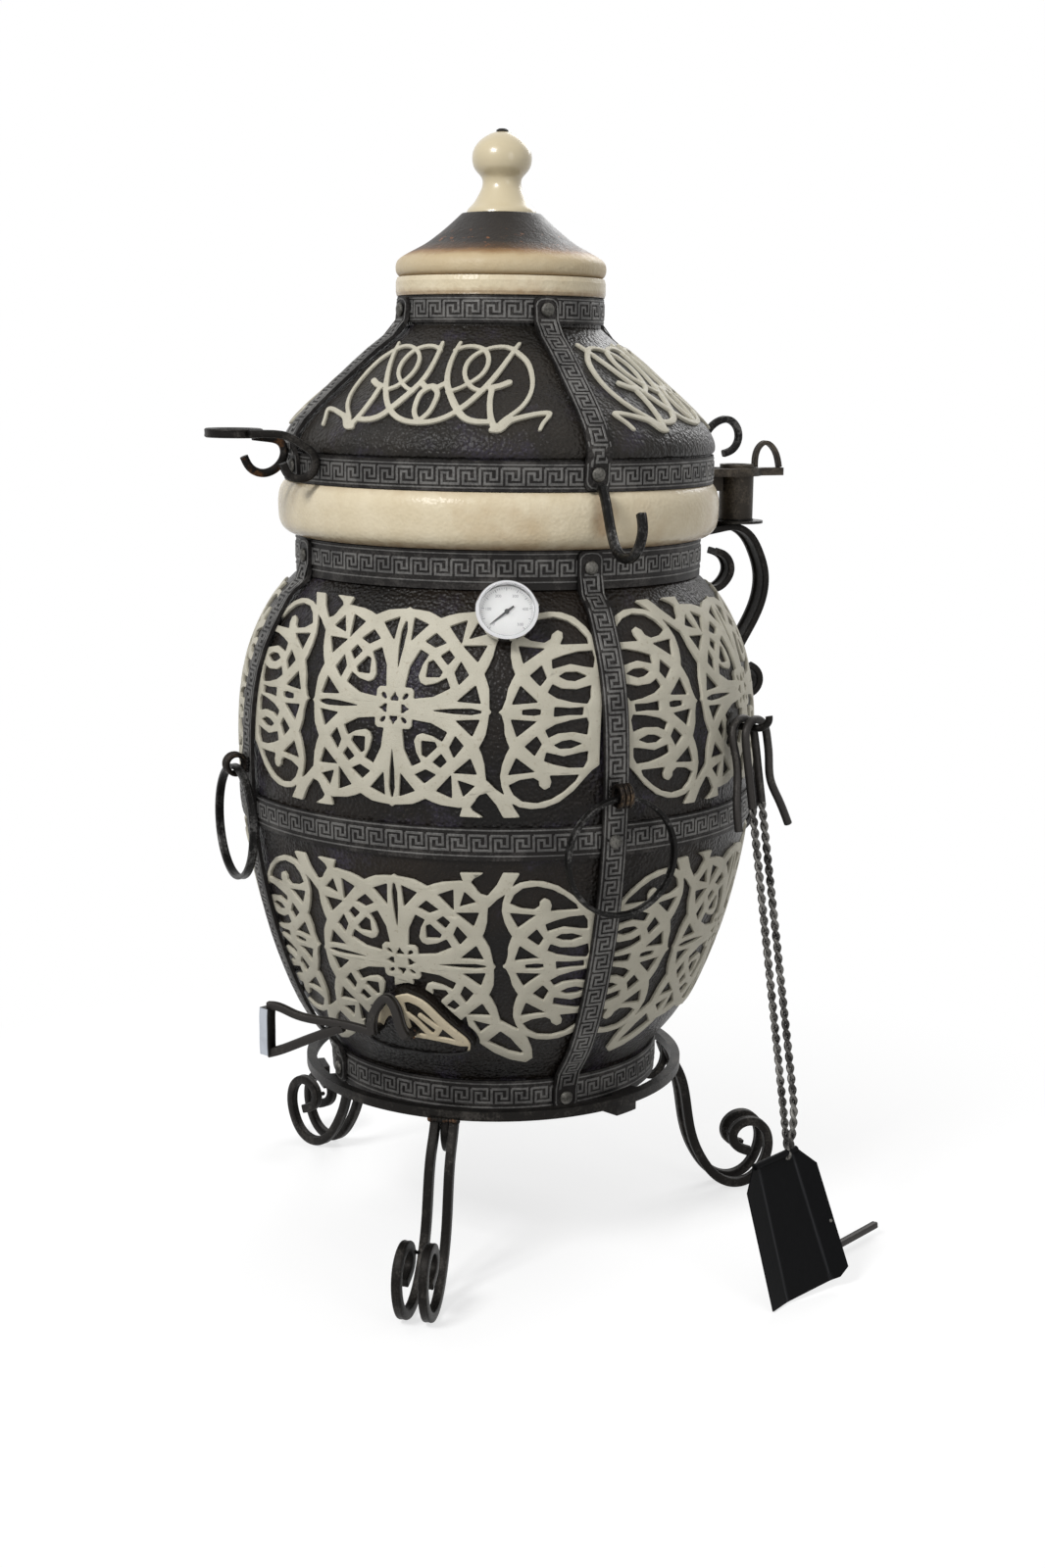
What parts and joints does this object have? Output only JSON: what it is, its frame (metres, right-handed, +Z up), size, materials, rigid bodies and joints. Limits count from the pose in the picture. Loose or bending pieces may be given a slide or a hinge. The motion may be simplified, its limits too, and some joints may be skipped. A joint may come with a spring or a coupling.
{
  "type": "ceramic tandoor on scroll stand",
  "caption": "Free-standing fireclay tandoor with swinging dome lid, lift-off cap, vent plug, carrying rings, gauge, scoop and poker on a three-legged forged stand.",
  "frame": {"origin": "on the floor under the pot's upright axis", "axes": "+Z up along the pot's axis, the ash vent faces -Y, the lid's hinge post stands at +X +Y"},
  "size_m": [0.7746, 0.6401, 1.2304],
  "materials": {
    "dark_glaze": "semi-gloss dark brown glaze with raised cream knotwork",
    "shaded_glaze": "satin glaze shading from charcoal to cream at the edge",
    "cream_glaze": "glossy cream glaze",
    "brushed_iron": "dark gunmetal, raised lines rubbed bright",
    "worn_rivet": "worn grey",
    "forged_iron": "black-brown satin, worn edges",
    "black_sheet": "flat black sheet steel",
    "polished_steel": "polished steel",
    "white_dial": "matt white",
    "black_paint": "black",
    "clear_glass": "clear flat glass"
  },
  "bodies": {
    "stand_and_pot": {"band_foot": "brushed_iron", "band_middle": "brushed_iron", "band_top": "brushed_iron", "body_rivets": "worn_rivet", "eye_1": "forged_iron", "eye_2": "forged_iron", "eye_3": "forged_iron", "eye_4": "forged_iron", "gauge_bezel": "polished_steel", "gauge_case": "polished_steel", "gauge_dial": "white_dial", "gauge_glass": "clear_glass", "gauge_stem": "polished_steel", "hinge_arm": "forged_iron", "hinge_curl": "forged_iron", "hinge_post": "forged_iron", "leg_curls": "forged_iron", "leg_front": "forged_iron", "leg_left": "forged_iron", "leg_right": "forged_iron", "pot": "dark_glaze", "stand_hoop": "forged_iron", "stand_seat": "forged_iron", "strap_1": "brushed_iron", "strap_2": "brushed_iron", "strap_3": "brushed_iron", "strap_4": "brushed_iron", "tool_hook": "forged_iron"},
    "dome": {"dome_cover": "dark_glaze", "dome_band": "brushed_iron", "neck_band": "brushed_iron", "dome_rivets": "worn_rivet", "hinge_sleeve": "forged_iron", "hinge_bracket": "forged_iron", "bracket_loop": "forged_iron", "bracket_lug": "forged_iron", "front_hook": "forged_iron", "rear_hook": "forged_iron", "side_hook": "forged_iron", "side_loop": "forged_iron", "side_scroll": "forged_iron", "dome_strap_1": "brushed_iron", "dome_strap_2": "brushed_iron", "dome_strap_3": "brushed_iron", "dome_strap_4": "brushed_iron"},
    "cap": {"cap": "shaded_glaze", "knob": "cream_glaze", "cap_stud": "worn_rivet"},
    "lid_washer": {"hinge_washer": "forged_iron"},
    "vent": {"vent_plug": "dark_glaze", "vent_handle": "forged_iron"},
    "needle": {"gauge_needle": "black_paint"},
    "scoop": {"scoop_pan": "black_sheet", "scoop_shaft": "forged_iron"},
    "poker": {"poker": "forged_iron"},
    "grate": {"fire_grate": "forged_iron"},
    "carry_ring_1": {"ring_1": "forged_iron"},
    "carry_ring_2": {"ring_2": "forged_iron"},
    "carry_ring_3": {"ring_3": "forged_iron"},
    "carry_ring_4": {"ring_4": "forged_iron"}
  },
  "joints": [
    {"name": "lid_swing", "type": "hinge", "parent": "stand_and_pot", "child": "lid_washer", "pos_m": [0.21567, 0.21567, 0.8065], "axis": [0, 0, 1], "range_deg": [0, 115]},
    {"name": "lid_lift", "type": "slide", "parent": "lid_washer", "child": "dome", "axis": [0, 0, 1], "range_m": [0, 0.04]},
    {"name": "cap_lift", "type": "slide", "parent": "dome", "child": "cap", "axis": [0, 0, 1], "range_m": [0, 0.12]},
    {"name": "vent_pull", "type": "slide", "parent": "stand_and_pot", "child": "vent", "axis": [0, -0.9272, -0.3746], "range_m": [0, 0.1]},
    {"name": "needle_turn", "type": "hinge", "parent": "stand_and_pot", "child": "needle", "pos_m": [0.09471, -0.22866, 0.733], "axis": [-0.341, 0.8232, -0.454], "range_deg": [0, 260]},
    {"name": "grate_lift", "type": "slide", "parent": "stand_and_pot", "child": "grate", "axis": [0, 0, 1], "range_m": [0, 0.3]},
    {"name": "ring_1_swing", "type": "hinge", "parent": "stand_and_pot", "child": "carry_ring_1", "pos_m": [0.21797, -0.21797, 0.5544], "axis": [-0.7071, -0.7071, 0], "range_deg": [-4, 95]},
    {"name": "ring_2_swing", "type": "hinge", "parent": "stand_and_pot", "child": "carry_ring_2", "pos_m": [0.21797, 0.21797, 0.5544], "axis": [0.7071, -0.7071, 0], "range_deg": [-4, 95]},
    {"name": "ring_3_swing", "type": "hinge", "parent": "stand_and_pot", "child": "carry_ring_3", "pos_m": [-0.21797, 0.21797, 0.5544], "axis": [0.7071, 0.7071, 0], "range_deg": [-4, 95]},
    {"name": "ring_4_swing", "type": "hinge", "parent": "stand_and_pot", "child": "carry_ring_4", "pos_m": [-0.21797, -0.21797, 0.5544], "axis": [-0.7071, 0.7071, 0], "range_deg": [-4, 95]},
    {"name": "scoop_lift", "type": "slide", "parent": "stand_and_pot", "child": "scoop", "axis": [-0.1621, 0.0792, 0.9836], "range_m": [0, 0.04]},
    {"name": "poker_lift", "type": "slide", "parent": "stand_and_pot", "child": "poker", "axis": [-0.1296, -0.0268, 0.9912], "range_m": [0, 0.04]}
  ]
}
